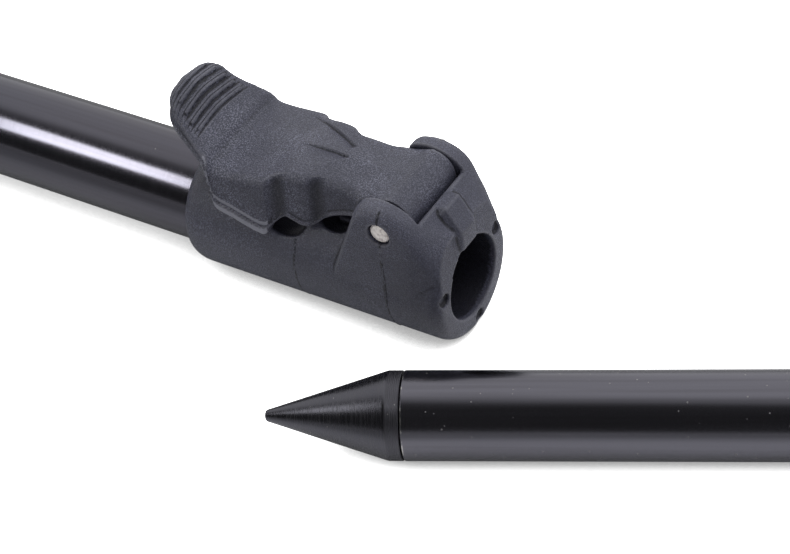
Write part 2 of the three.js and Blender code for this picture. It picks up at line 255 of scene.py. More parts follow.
class SharedEffects:
    """Node groups that several finishes use, each built once."""

    def __init__(self) -> None:
        """Build the groups."""
        self.grain = self._grain()
        self.turning = self._turning()
        self.specks = self._specks()

    def _grain(self) -> NodeTree:
        """Build spark-eroded grain.

        Returns:
            The group, which gives sparse bright grains and a fine height.
        """
        graph, given = group_tree("mould_grain", {"Vector": None, "Scale": 4200.0}, ("Grains", "Height"))
        fine = graph.noise(given["Vector"], given["Scale"], 2.0, 0.6)
        cells = graph.add("ShaderNodeTexVoronoi", {"Vector": given["Vector"], "Scale": given["Scale"]})
        height = graph.plus(graph.times(fine, 0.7), cells.outputs["Distance"])
        graph.add("NodeGroupOutput", {"Grains": graph.ramp(fine, 0.47, 0.62), "Height": height})
        return graph.tree

    def _turning(self) -> NodeTree:
        """Build turning marks.

        Returns:
            The group, which gives rings whose spacing runs along the vector's X.
        """
        graph, given = group_tree("turning_marks", {"Vector": None, "Scale": 7000.0}, ("Marks", "Height"))
        coarse = graph.noise(graph.stretched(given["Vector"], (1.0, 0.03, 0.03)), given["Scale"], 3.0, 0.7)
        graph.add("NodeGroupOutput", {"Marks": graph.ramp(coarse, 0.46, 0.64), "Height": coarse})
        return graph.tree

    def _specks(self) -> NodeTree:
        """Build small scattered specks, as of dust and tiny dents in an anodised skin.

        Returns:
            The group, which gives the specks and a slow haze.
        """
        graph, given = group_tree("skin_specks", {"Vector": None, "Scale": 600.0, "Share": 0.2}, ("Specks", "Haze"))
        cells = graph.add("ShaderNodeTexVoronoi", {"Vector": given["Vector"], "Scale": given["Scale"]}).outputs
        pick = graph.add("ShaderNodeSeparateXYZ", {0: cells["Color"]}).outputs[0]
        chosen = graph.math("LESS_THAN", pick, given["Share"])
        specks = graph.times(graph.rest(graph.ramp(cells["Distance"], 0.06, 0.13)), chosen)
        graph.add("NodeGroupOutput", {"Specks": specks, "Haze": graph.noise(given["Vector"], 45.0, 3.0)})
        return graph.tree


@dataclass(frozen=True)
class Finish:
    """What every finish has: its slot, and the way to turn it into a material."""

    slot: Slot

    def material(self, effects: SharedEffects) -> Material:
        """Build the material.

        Args:
            effects: The shared node groups.

        Returns:
            The finished material.
        """
        material = bpy.data.materials.new(self.slot.value)
        material.use_nodes = True
        material.node_tree.nodes.clear()
        graph = Graph(material.node_tree)
        shader = self.shade(graph, graph.add("ShaderNodeTexCoord").outputs["Object"], effects)
        graph.add("ShaderNodeOutputMaterial", {"Surface": shader.outputs[0]})
        return material

    def shade(self, graph: Graph, place: NodeSocket, effects: SharedEffects) -> Node:
        """Return the finish's shader node. Each finish has its own."""
        raise NotImplementedError


@dataclass(frozen=True)
class MouldedNylon(Finish):
    """Charcoal nylon with a speckled, spark-eroded grain."""

    dark: Colour = (0.050, 0.051, 0.073)
    light: Colour = (0.142, 0.145, 0.200)
    # The paler colour that convex edges are mixed towards.
    pale_edge: Colour = (0.130, 0.130, 0.156)
    # A painted highlight: the pale colour of bands that pieces mark.
    painted_band_highlight: Colour = (0.250, 0.252, 0.300)
    # Painted shade: the near-black that creases, hollows and the bore are darkened towards.
    painted_crease_shade: Colour = (0.007, 0.007, 0.011)
    pale_edge_relief: Range = (0.58, 0.90)
    painted_highlight_relief: Range = (0.93, 0.99)
    painted_shade_relief: Range = (0.16, 0.46)
    painted_shade_share: float = 0.85
    roughness: float = 0.42
    grain_scale: float = 4200.0
    grain_depth: float = 0.11 * MM
    grain_gloss: float = -0.14
    patch_scale: float = 95.0

    def shade(self, graph: Graph, place: NodeSocket, effects: SharedEffects) -> Node:
        """Build a grey speckle over a dark body, paler on convex edges, with painted shade in creases and hollows
        and a painted highlight on marked bands.

        Args:
            graph: The material's graph.
            place: The coordinates of the piece.
            effects: The shared node groups.

        Returns:
            The shader node.
        """
        grain = graph.effect(effects.grain, place, Scale=self.grain_scale)
        patches = graph.ramp(graph.noise(place, self.patch_scale, 3.0), 0.4, 0.68)
        share = graph.plus(graph.times(patches, 0.45), 0.32)
        body = graph.tint(graph.times(grain["Grains"], share), self.dark, self.light)
        relief = graph.add("ShaderNodeAttribute", attribute_name=RELIEF).outputs["Fac"]
        # Convex edges are mixed towards a paler colour.
        edge = graph.times(graph.ramp(relief, *self.pale_edge_relief), share)
        # Painted highlight: points marked at the top of the relief range get the pale band colour.
        worn = graph.tint(graph.ramp(relief, *self.painted_highlight_relief), graph.tint(edge, body, self.pale_edge), self.painted_band_highlight)
        # Painted shade: the lower the relief, as in creases and where a piece sets it low, the darker the colour.
        painted_shade = graph.rest(graph.ramp(relief, *self.painted_shade_relief))
        colour = graph.tint(graph.times(painted_shade, self.painted_shade_share), worn, self.painted_crease_shade)
        rough = graph.plus(graph.times(grain["Grains"], self.grain_gloss), self.roughness)
        return graph.skin(colour, rough, grain["Height"], 0.75, self.grain_depth, {"Specular IOR Level": 0.42})


@dataclass(frozen=True)
class AnodisedTube(Finish):
    """Black anodised drawn tube, with turning marks, specks and a slow change of tint."""

    warm: Colour = (0.106, 0.103, 0.122)
    cool: Colour = (0.094, 0.097, 0.118)
    bare: Colour = (0.62, 0.60, 0.58)
    streak: Colour = (0.05, 0.046, 0.05)
    streak_share: float = 0.25
    speck: Colour = (0.19, 0.185, 0.19)
    speck_share: float = 0.05
    speck_dullness: float = 0.8
    roughness: float = 0.15
    haze: float = 0.04
    ring_spread: float = 0.05
    cut_end: float = -1.0
    cut_width: float = 0.2 * MM
    marks: float = 0.006 * MM
    heading: float = 0.0
    warm_ends: Range = (-140 * MM, -60 * MM)

    def shade(self, graph: Graph, place: NodeSocket, effects: SharedEffects) -> Node:
        """Build a dark metal skin that mirrors the room.

        Args:
            graph: The material's graph.
            place: The coordinates of the piece.
            effects: The shared node groups.

        Returns:
            The shader node.
        """
        along = graph.stretched(place, turn=self.heading)
        turning = graph.effect(effects.turning, along)
        specks = graph.effect(effects.specks, along, Share=self.speck_share)
        distance = graph.add("ShaderNodeSeparateXYZ", {0: along}).outputs[0]
        warmth = graph.ramp(distance, *self.warm_ends)
        lengthwise = graph.ramp(graph.noise(graph.stretched(along, (0.02, 1.0, 1.0)), 900.0), 0.35, 0.75)
        tint = graph.tint(warmth, self.cool, self.warm)
        streaked = graph.tint(graph.times(lengthwise, self.streak_share), tint, self.streak)
        speckled = graph.tint(specks["Specks"], streaked, self.speck)
        rim = graph.rest(graph.ramp(distance, self.cut_end + self.cut_width, self.cut_end + 1.5 * self.cut_width))
        broken = graph.ramp(graph.noise(along, 420.0, 3.0), 0.46, 0.60)
        colour = graph.tint(graph.times(rim, broken), speckled, self.bare)
        metal = graph.rest(graph.times(specks["Specks"], self.speck_dullness))
        even = graph.plus(graph.times(specks["Haze"], self.haze), self.roughness)
        rough = graph.plus(graph.times(graph.times(turning["Marks"], warmth), self.ring_spread), even)
        return graph.skin(colour, rough, turning["Height"], 0.5, self.marks, {"Metallic": metal})


@dataclass(frozen=True)
class TurnedMetal(Finish):
    """Turned metal: rings left by the tool, with worn places that show bare metal."""

    skin: Colour = (0.087, 0.086, 0.100)
    bare: Colour = (0.62, 0.60, 0.57)
    roughness: float = 0.24
    ring_depth: float = 0.03 * MM
    ring_wear: float = 0.08
    ring_roughness: float = 0.12
    speck_scale: float = 900.0
    worn: float = 0.35
    heading: float = 0.0
    matt_from: float = 1.0
    matt_share: float = 0.14

    def shade(self, graph: Graph, place: NodeSocket, effects: SharedEffects) -> Node:
        """Build rings in colour and height, and specks of bare metal.

        Args:
            graph: The material's graph.
            place: The coordinates of the piece.
            effects: The shared node groups.

        Returns:
            The shader node.
        """
        along = graph.stretched(place, turn=self.heading)
        turning = graph.effect(effects.turning, along)
        specks = graph.effect(effects.specks, along, Scale=self.speck_scale)
        bared = graph.math("MAXIMUM", specks["Specks"], graph.times(turning["Marks"], self.ring_wear))
        colour = graph.tint(graph.times(bared, self.worn), self.skin, self.bare)
        distance = graph.add("ShaderNodeSeparateXYZ", {0: along}).outputs[0]
        matt = graph.ramp(distance, self.matt_from - 0.1 * MM, self.matt_from + 0.1 * MM)
        even = graph.plus(graph.times(matt, self.matt_share), self.roughness)
        rough = graph.plus(graph.times(turning["Marks"], self.ring_roughness), even)
        return graph.skin(colour, rough, turning["Height"], 0.5, self.ring_depth, {"Metallic": 1.0})


@dataclass(frozen=True)
class BareSteel(Finish):
    """Bare pin with hammered ends, mottled where the hammer bruised it."""

    bright: Colour = (1.0, 0.94, 0.89)
    bruised: Colour = (0.56, 0.50, 0.48)
    bruise_share: float = 0.8
    bruise_roughness: float = 0.2
    dent_depth: float = 0.06 * MM
    metallic: float = 0.35
    roughness: float = 0.30

    def shade(self, graph: Graph, place: NodeSocket, effects: SharedEffects) -> Node:
        """Build bright metal with grey bruises.

        Args:
            graph: The material's graph.
            place: The coordinates of the piece.
            effects: The shared node groups; not used.

        Returns:
            The shader node.
        """
        blotches = graph.ramp(graph.noise(place, 1500.0, 3.0, 0.65), 0.46, 0.68)
        colour = graph.tint(graph.times(blotches, self.bruise_share), self.bright, self.bruised)
        rough = graph.plus(graph.times(blotches, self.bruise_roughness), self.roughness)
        dents = graph.noise(place, 1900.0, 3.0)
        return graph.skin(colour, rough, dents, 0.6, self.dent_depth, {"Metallic": self.metallic})


@dataclass(frozen=True)
class PlainMoulding(Finish):
    """Plain black moulding of the pad and the end plug."""

    dark: Colour = (0.018, 0.018, 0.019)
    light: Colour = (0.045, 0.045, 0.047)
    roughness: float = 0.46
    grain_scale: float = 2500.0
    grain_depth: float = 0.02 * MM
    grain_roughness: float = 0.1

    def shade(self, graph: Graph, place: NodeSocket, effects: SharedEffects) -> Node:
        """Build black with a soft cloud and a little grain.

        Args:
            graph: The material's graph.
            place: The coordinates of the piece.
            effects: The shared node groups.

        Returns:
            The shader node.
        """
        grain = graph.effect(effects.grain, place, Scale=self.grain_scale)
        colour = graph.tint(graph.noise(place, 260.0, 3.0), self.dark, self.light)
        rough = graph.plus(graph.times(grain["Grains"], self.grain_roughness), self.roughness)
        return graph.skin(colour, rough, grain["Height"], 0.4, self.grain_depth, {})


# Mesh helpers


@dataclass(frozen=True)
class Lie:
    """Where a section's axis lies: its start, and its heading about the upright axis."""

    start: Vector
    heading: float = 0.0

    def matrix(self) -> Matrix:
        """Return the matrix from the section's own frame, with X along the axis, to the row frame."""
        return Matrix.Translation(self.start) @ Matrix.Rotation(self.heading, 4, "Z")

    def reach(self, node: str) -> tuple[float, float, float]:
        """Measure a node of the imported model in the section's own frame.

        Args:
            node: The node's name.

        Returns:
            Its lowest and highest place along the axis, and its largest radius.
        """
        back = self.matrix().inverted()
        points = [back @ vertex.co for vertex in frame["nodes"][node].data.vertices]
        along = [point.x for point in points]
        return min(along), max(along), max(math.hypot(point.y, point.z) for point in points)

    def cut(self, node: str) -> float:
        """Return where a node's lower end lies along the heading, measured from the row frame's origin."""
        return (Matrix.Rotation(-self.heading, 4, "Z") @ self.start).x + self.reach(node)[0]


@contextmanager
def edited(piece: Object) -> Iterator[BMesh]:
    """Open a piece's mesh for editing, and store it again, shaded smooth.

    Args:
        piece: The piece to edit.

    Yields:
        Its mesh.
    """
    bm = bmesh.new()
    bm.from_mesh(piece.data)
    yield bm
    bm.to_mesh(piece.data)
    bm.free()
    piece.data.shade_smooth()


def cut_across(bm: BMesh, faces: list[BMFace], place: float, merge: float) -> None:
    """Cut chosen faces where they cross a plane square to X.

    Args:
        bm: The mesh.
        faces: The faces to cut.
        place: Where the plane crosses X.
        merge: How near a point may lie to the plane and still count as on it.
    """
    edges = {edge for face in faces for edge in face.edges}
    verts = {vert for face in faces for vert in face.verts}
    bmesh.ops.bisect_plane(
        bm, geom=[*faces, *edges, *verts], dist=merge, plane_co=(place, 0, 0), plane_no=(1, 0, 0),
    )


def object_from(name: str, bm: BMesh) -> Object:
    """Turn a bmesh into an object in the scene, and free the bmesh.

    Args:
        name: The object's name.
        bm: Its mesh.

    Returns:
        The object.
    """
    mesh = bpy.data.meshes.new(name)
    bm.to_mesh(mesh)
    bm.free()
    piece = bpy.data.objects.new(name, mesh)
    bpy.context.scene.collection.objects.link(piece)
    return piece


def bake_modifiers(piece: Object, sharp_angle: float = 40.0) -> Object:
    """Replace a piece's mesh by what its modifiers make of it, shaded smooth up to an angle.

    Args:
        piece: The object with its modifiers.
        sharp_angle: The angle in degrees above which an edge stays sharp.

    Returns:
        The same object, without modifiers.
    """
    graph = bpy.context.evaluated_depsgraph_get()
    mesh = bpy.data.meshes.new_from_object(piece.evaluated_get(graph))
    piece.modifiers.clear()
    piece.data = mesh
    mesh.shade_smooth()
    mesh.set_sharp_from_angle(angle=math.radians(sharp_angle))
    return piece


def laid_object(name: str, bm: BMesh, lie: Lie) -> Object:
    """Close a shape built along X, turn its faces outwards and lay it on a section's axis.

    Args:
        name: The piece's name.
        bm: The shape, in the section's own frame.
        lie: Where the axis lies.

    Returns:
        The shape as an object.
    """
    bmesh.ops.remove_doubles(bm, verts=bm.verts, dist=MERGE)
    bmesh.ops.recalc_face_normals(bm, faces=bm.faces)
    bmesh.ops.transform(bm, matrix=lie.matrix(), verts=bm.verts)
    return object_from(name, bm)


def spun(name: str, profile: Profile, lie: Lie, steps: int = 128, edge: float = 0.0) -> Object:
    """Spin a profile about a section's axis.

    Args:
        name: The piece's name.
        profile: Points as place along the axis and radius. It closes on itself unless it ends on the axis.
        lie: Where the axis lies.
        steps: The number of steps round the axis.
        edge: The width of the bevel on sharp edges.

    Returns:
        The closed piece.
    """
    bm = bmesh.new()
    verts = [bm.verts.new((along, 0.0, radius)) for along, radius in profile]
    pairs = list(zip(verts, verts[1:]))
    if profile[0][1] > 0.0:
        pairs.append((verts[-1], verts[0]))
    edges = [bm.edges.new(pair) for pair in pairs]
    bmesh.ops.spin(
        bm, geom=verts + edges, cent=(0, 0, 0), axis=(1, 0, 0), dvec=(0, 0, 0),
        angle=math.tau, steps=steps, use_merge=True, use_duplicate=False,
    )
    piece = laid_object(name, bm, lie)
    if edge > 0.0:
        bevel = piece.modifiers.new("edge", "BEVEL")
        bevel.width = edge
        bevel.segments = 3
        bevel.limit_method = "ANGLE"
        bevel.angle_limit = math.radians(30)
    return bake_modifiers(piece)


def spun_tube(name: str, node: str, lie: Lie, wall: float, steps: int, edge: float) -> Object:
    """Spin a plain tube with the reach of a node.

    Args:
        name: The piece's name.
        node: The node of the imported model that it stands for.
        lie: Where the axis lies.
        wall: The thickness of its wall.
        steps: The number of steps round the axis.
        edge: The width of the bevel at its ends.

    Returns:
        The tube.
    """
    low, high, radius = lie.reach(node)
    bore = radius - wall
    return spun(name, [(low, bore), (low, radius), (high, radius), (high, bore)], lie, steps, edge)


def stretch_at(place: float) -> int:
    """Return the number of the short stretch of length that a place lies in."""
    return round(place / STRETCH)


def between(table: dict[int, float], place: float) -> float:
    """Read a table of short stretches of length between two of its entries.

    Args:
        table: A value for each stretch.
        place: Where along X it is read.

    Returns:
        The value there.
    """
    low = math.floor(place / STRETCH)
    share = place / STRETCH - low
    first = table.get(low, 0.0)
    return first * (1.0 - share) + table.get(low + 1, first) * share


def softened(name: str, node: str, voxel: float, passes: int, kept: float = 1.0) -> Object:
    """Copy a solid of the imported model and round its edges, as a moulding has them.

    Args:
        name: The piece's name.
        node: The node to copy.
        voxel: The grid size of the remesh.
        passes: How many times the surface is smoothed and swelled back, so that it keeps its size.
        kept: The share of faces that is kept when the even places are thinned.

    Returns:
        The rounded copy.
    """
    bm = bmesh.new()
    bm.from_mesh(frame["nodes"][node].data)
    bmesh.ops.remove_doubles(bm, verts=bm.verts, dist=0.002 * MM)
    piece = object_from(name, bm)
    skin = piece.modifiers.new("skin", "REMESH")
    skin.mode = "VOXEL"
    skin.voxel_size = voxel
    for factor in (SMOOTHING, SWELLING) * passes:
        smooth = piece.modifiers.new("rounding", "SMOOTH")
        smooth.factor = factor
    if kept < 1.0:
        thin = piece.modifiers.new("thinned", "DECIMATE")
        thin.ratio = kept
    return bake_modifiers(piece, 180.0)


def note_relief(piece: Object, painted_light: dict[int, float]) -> None:
    """Store how far each point stands out of its surroundings, with painted shade and highlight values in chosen
    places, for the finish to read.

    Args:
        piece: The finished piece.
        painted_light: The points that get a set value instead, by their index.
    """
    mesh = piece.data
    count = len(mesh.vertices)
    place = np.empty(count * 3, dtype=np.float32)
    normal = np.empty(count * 3, dtype=np.float32)
    pairs = np.empty(len(mesh.edges) * 2, dtype=np.int32)
    mesh.vertices.foreach_get("co", place)
    mesh.vertices.foreach_get("normal", normal)
    mesh.edges.foreach_get("vertices", pairs)
    place, normal, pairs = place.reshape(-1, 3), normal.reshape(-1, 3), pairs.reshape(-1, 2)
    one, other = pairs[:, 0], pairs[:, 1]
    step = place[other] - place[one]
    square = np.maximum((step * step).sum(axis=1), 1e-12)
    links = np.maximum(np.bincount(pairs.ravel(), minlength=count), 1)
    bend = np.bincount(one, weights=-2.0 * (normal[one] * step).sum(axis=1) / square, minlength=count)
    bend += np.bincount(other, weights=2.0 * (normal[other] * step).sum(axis=1) / square, minlength=count)
    bend /= links
    for _ in range(RELIEF_SPREAD):
        around = np.bincount(one, weights=bend[other], minlength=count)
        around += np.bincount(other, weights=bend[one], minlength=count)
        bend = 0.5 * bend + 0.5 * around / links
    relief = np.clip(FLAT + FLAT * bend * FULL_BEND, 0.0, NATURAL_LIMIT).astype(np.float32)
    for index, value in painted_light.items():
        relief[index] = value
    mesh.attributes.new(RELIEF, "FLOAT", "POINT").data.foreach_set("value", relief)


def dress(piece: Object, material: Material, body: Body, slot: Slot, *nodes: str) -> None:
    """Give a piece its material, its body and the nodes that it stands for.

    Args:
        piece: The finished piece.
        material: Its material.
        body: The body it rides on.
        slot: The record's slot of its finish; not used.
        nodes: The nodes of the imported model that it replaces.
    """
    piece.data.materials.clear()
    piece.data.materials.append(material)
    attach(piece, body.value)
    if nodes:
        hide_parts(*nodes)
    log.info("%s: %d faces, rides on %s", piece.name, len(piece.data.polygons), body.value)


def smooth_step(value: float, low: float, high: float) -> float:
    """Return 0 at low and 1 at high, smooth between them."""
    share = min(max((value - low) / (high - low), 0.0), 1.0)
    return share * share * (3.0 - 2.0 * share)


# Sub-assemblies


@dataclass
class ThickSection:
    """The thick tube and the threaded insert in its top end."""

    lie: Lie
    materials: dict[Slot, Material]
    wall: float = 1.2 * MM
    edge: float = 0.18 * MM
    bore_radius: float = 4.1 * MM
    thread_pitch: float = 1.27 * MM
    thread_depth: float = 0.5 * MM
    thread_steps: int = 36
    undercut: float = 0.35 * MM
    flange: float = 2.0 * MM
    gap: float = 0.3 * MM
    tube_steps: int = 160

    def build(self) -> None:
        """Build and dress both pieces."""
        tube = spun_tube("thick_tube", "outer_tube", self.lie, self.wall, self.tube_steps, self.edge)
        dress(tube, self.materials[Slot.GLOSS], Body.THICK_SECTION, Slot.GLOSS, "outer_tube")
        self.build_insert()

    def build_insert(self) -> None:
        """Spin the insert, and cut its thread as a helix on the wall of its hole."""
        low, high, radius = self.lie.reach("top_insert")
        spigot = radius - self.wall - self.gap
        shoulder = low + self.flange
        hole = self.bore_radius + self.thread_depth * 0.6
        lead = self.thread_depth * 1.2
        under = self.undercut
        profile = [
            (low, hole + lead), (low, radius), (shoulder, radius), (shoulder, spigot - under),
            (shoulder + 3 * under, spigot - under), (shoulder + 4 * under, spigot), (high, spigot),
            (high, hole), (low + lead, hole),
        ]
        insert = spun("threaded_insert", profile, self.lie, 128, self.edge)
        dress(insert, self.materials[Slot.INSERT], Body.THICK_SECTION, Slot.INSERT, "top_insert")
        thread = self.thread(low + lead, high - lead, hole)
        dress(thread, self.materials[Slot.INSERT], Body.THICK_SECTION, Slot.INSERT)

    def thread(self, low: float, high: float, radius: float) -> Object:
        """Wind a triangular ridge round the inside of the hole.

        Args:
            low: Where the thread starts along the axis.
            high: Where it ends.
            radius: The radius of the wall that it stands on.

        Returns:
            The ridge, closed at both ends.
        """
        half = self.thread_pitch * 0.42
        turns = max(1, int((high - low - 2 * half) / self.thread_pitch))
        steps = self.thread_steps * turns
        root = radius + 0.05 * MM
        bm = bmesh.new()
        corners = [(low, root), (low + half, radius - self.thread_depth), (low + 2 * half, root)]
        verts = [bm.verts.new((along, 0.0, height)) for along, height in corners]
        face = bm.faces.new(verts)
        bmesh.ops.spin(
            bm, geom=[face, *face.edges, *verts], cent=(0, 0, 0), axis=(1, 0, 0),
            dvec=(self.thread_pitch * turns / steps, 0, 0), angle=math.tau * turns, steps=steps,
            use_merge=False, use_duplicate=True,
        )
        bmesh.ops.holes_fill(bm, edges=[edge for edge in bm.edges if edge.is_boundary])
        return bake_modifiers(laid_object("insert_thread", bm, self.lie), 30.0)


@dataclass(frozen=True)
class Scoop:
    """A leaf-shaped scoop in the lever's top, deepest along its rim and running out to the near side.

    It starts, is full and fades out at distances behind the pivot. The rim's place and the scoop's width
    are each given at the start, with their change along the lever.
    """

    start: float
    full: float
    fades: Range
    rim: Range
    width: Range
    widest: float
    sharpness: Range

    def share_at(self, back: float, side: float) -> float:
        """Return how deep the scoop is at a place.

        Args:
            back: The distance behind the pivot.
            side: The distance from the lever's middle, which is negative on the near side.

        Returns:
            The depth, as a share of the greatest depth.
        """
        if not self.start < back < self.fades[1]:
            return 0.0
        on = back - self.start
        fall = self.rim[0] + self.rim[1] * on - side
        width = min(self.width[0] + self.width[1] * on, self.widest)
        across = smooth_step(fall, *self.sharpness) * max(0.0, 1.0 - fall / width)
        return across * (1.0 - smooth_step(back, *self.fades)) * smooth_step(back, self.start, self.full)


NEAR_SCOOP = Scoop(
    start=12.5 * MM, full=14 * MM, fades=(17 * MM, 25.5 * MM), rim=(0.0, 0.0), width=(0.4 * MM, 0.93),
    widest=5.2 * MM, sharpness=(-0.12 * MM, 0.18 * MM),
)
FAR_SCOOP = Scoop(
    start=13 * MM, full=14.5 * MM, fades=(19 * MM, 28.5 * MM), rim=(2.97 * MM, 0.46), width=(2.2 * MM, 0.2),
    widest=5.3 * MM, sharpness=(-0.15 * MM, 0.2 * MM),
)


@dataclass
class CamLock:
    """The moulded housing, its cam lever, the pin they turn on and the pad between cam and tube.

    Places along the lever are given as distances behind the pivot.
    """

    lie: Lie
    materials: dict[Slot, Material]
    lever_material: Material
    housing_voxel: float = 0.27 * MM
    housing_kept: float = 0.56
    lever_voxel: float = 0.23 * MM
    passes: int = 5
    barrel_radius: float = 12.7 * MM
    bore_wall: float = 9.0 * MM
    bore_from: float = 1.2 * MM
    # Painted shade: the relief value that darkens the bore.
    bore_painted_shade: float = 0.2
    seam_half_width: float = 0.16 * MM
    seam_cuts: tuple[float, ...] = (-2.4, -1.0, 0.0, 1.0, 2.4)
    seam_slope: float = 0.9
    seam_beyond: float = 12.2 * MM
    seam_flank: float = 9.0 * MM
    seams: tuple[Range, ...] = ((0.0, 0.11 * MM), (20.1 * MM, 0.05 * MM))
    bowls: tuple[tuple[float, float, float], ...] = ((22.9 * MM, 45.0, 4.5 * MM), (12.9 * MM, 29.0, 3.9 * MM))
    bowl_reach: float = 3.2 * MM
    bowl_depth: float = 1.6 * MM
    bowl_skin: float = 0.6 * MM
    bowl_power: float = 0.6
    # The share of a bowl's inside over which its painted shade fades in from the rim.
    bowl_rim: float = 0.25
    hub_from: float = -4.0 * MM
    skirt_from: float = 8.0 * MM
    grip_from: float = 40.4 * MM
    plain_foot: float = 2.0 * MM
    carved_slope: float = 0.45
    flowing_slope: float = 0.5
    ribbed_slope: float = 0.7
    flank_slope: float = 0.4
    flow_passes: int = 12
    rib_passes: int = 18
    groove_pitch: float = 1.35 * MM
    groove_start: float = 41.15 * MM
    groove_count: int = 6
    groove_depth: float = 0.15 * MM
    groove_width: float = 0.18 * MM
    groove_bow: float = 0.35 * MM
    groove_reach: float = 7.8 * MM
    groove_fade: Range = (0.72, 1.2)
    groove_mid: float = 0.6
    groove_mid_width: float = 0.6
    loop_step: float = 0.6
    loops_before: int = 4
    loops_after: int = 5
    lip_height: float = 2.6 * MM
    lip_crease: float = 1.48 * MM
    lip_crease_width: float = 0.11 * MM
    lip_cut: float = 0.07 * MM
    lip_wall: float = 1.2 * MM
    lip_from: float = 24.6 * MM
    lip_to: float = 39.5 * MM
    lip_fade_in: float = 0.8 * MM
    lip_fade_out: float = 1.5 * MM
    lip_blend: Range = (0.3 * MM, 0.1 * MM)
    # Painted highlight: the relief value that paints the lip band pale.
    lip_painted_highlight: float = 0.97
    scoops: tuple[Scoop, ...] = (NEAR_SCOOP, FAR_SCOOP)
    scoop_depth: float = 0.5 * MM
    flutes: tuple[float, ...] = (22.9 * MM, 15.4 * MM)
    flute_depth: float = 0.55 * MM
    flute_width: float = 1.4 * MM
    flute_slopes: Range = (-0.3, 0.93)
    flute_flank: Range = (0.15, 0.9)
    flute_edge: float = 0.3
    # Painted shade in the flutes: their relief value, lowered further deeper in.
    flute_painted_shade: float = 0.42
    flute_shade: float = 0.16
    pin_dome: float = 0.22 * MM
    pin_chamfer: float = 0.25 * MM
    pin_steps: int = 48
    dent_size: float = 0.8 * MM
    dent_depth: float = 0.09 * MM
    pad_voxel: float = 0.12 * MM
    pad_passes: int = 4

    def build(self) -> None:
        """Build and dress the four pieces."""
        low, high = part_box("pivot_pin")
        self.pivot = (low + high) / 2
        self.build_housing()
        self.build_lever()
        self.build_pin()
        pad = softened("clamp_pad", "pressure_pad", self.pad_voxel, self.pad_passes)
        dress(pad, self.materials[Slot.PAD], Body.PAD, Slot.PAD, "pressure_pad")

    def build_housing(self) -> None:
        """Round the housing's edges, raise its mould seams, press its finger bowls, and paint shade in the bowls
        and the bore.
        """
        housing = softened("moulded_housing", "lock_housing", self.housing_voxel, self.passes, self.housing_kept)
        for behind, height in self.seams:
            with edited(housing) as bm:
                self.raise_seam(bm, self.pivot.x - behind, height)
        note_relief(housing, self.press_bowls(housing))
        dress(housing, self.materials[Slot.MOULDED], Body.THICK_SECTION, Slot.MOULDED, "lock_housing")

    def press_bowls(self, housing: Object) -> dict[int, float]:
        """Press finger bowls into both shoulders of the barrel, below the lever's notches, and mark painted shade
        in them and in the bore.

        Args:
            housing: The rounded housing.

        Returns:
            The painted relief of every point in a bowl or in the bore, by its index: low, so that the finish paints
            them dark as painted shade.
        """
        axis = self.lie.start
        painted_light: dict[int, float] = {}
        for vert in housing.data.vertices:
            out = Vector((0.0, vert.co.y - axis.y, vert.co.z - axis.z))
            away = out.length
            if away < self.bore_wall and vert.co.x < axis.x - self.bore_from:
                # Painted shade in the bore.
                painted_light[vert.index] = self.bore_painted_shade
            if abs(away - self.barrel_radius) > self.bowl_skin:
                continue
            angle = math.degrees(math.atan2(abs(out.y), out.z))
            for back, middle, half in self.bowls:
                along = (self.pivot.x - vert.co.x - back) / half
                across = math.radians(angle - middle) * self.barrel_radius / self.bowl_reach
                inside = 1.0 - along * along - across * across
                if inside > 0.0:
                    vert.co -= out / away * self.bowl_depth * inside ** self.bowl_power
                    # Painted shade in the bowl, full inside its rim.
                    painted_light[vert.index] = FLAT - FLAT * smooth_step(inside, 0.0, self.bowl_rim)
        return painted_light

    def raise_seam(self, bm: BMesh, place: float, height: float) -> None:
        """Raise a line where two parts of the mould met, down both flanks.

        Args:
            bm: The rounded housing.
            place: Where the line crosses the axis.
            height: How far it stands out.
        """
        axis = self.lie.start
        for share in self.seam_cuts:
            cut = place + share * self.seam_half_width
            near = []
            for face in bm.faces:
                reach = [vert.co.x for vert in face.verts]
                if min(reach) < cut < max(reach):
                    near.append(face)
            cut_across(bm, near, cut, 0.001 * MM)
        bm.normal_update()
        for vert in bm.verts:
            side = vert.co.y - axis.y
            beyond = math.hypot(side, vert.co.z - axis.z) > self.seam_beyond
            outside = beyond and abs(side) > self.seam_flank and vert.normal.z < self.seam_slope
            if outside and abs(vert.co.x - place) < 0.02 * MM:
                vert.co += vert.normal * height

    def build_lever(self) -> None:
        """Round the lever's edges and carve it."""
        lever = softened("thumb_lever", "cam_lever", self.lever_voxel, self.passes)
        with edited(lever) as bm:
            painted_light = self.carve(bm)
        note_relief(lever, painted_light)
        dress(lever, self.lever_material, Body.LEVER, Slot.MOULDED, "cam_lever")

    def carve(self, bm: BMesh) -> dict[int, float]:
        """Cut the lever's grooves, scoops and flutes, shape its lip, and set painted shade in the flutes and a
        painted highlight on the lip.

        Args:
            bm: The rounded lever.

        Returns:
            The painted relief of the points: painted shade in the flutes, and on the lip a painted highlight with a
                painted shade line, by their index.
        """
        feet, widths = self.feet_and_widths(bm)
        self.even_out(bm, feet)
        self.cut_loops(bm)
        bm.normal_update()
        bm.verts.index_update()
        moves: list[tuple[BMVert, Vector]] = []
        painted_light: dict[int, float] = {}
        for vert in bm.verts:
            back = self.pivot.x - vert.co.x
            side = vert.co.y - self.pivot.y
            height = vert.co.z - between(feet, vert.co.x)
            flute = self.flute_at(vert, back)
            push, out = -flute, 0.0
            if flute > self.flute_edge * self.flute_depth:
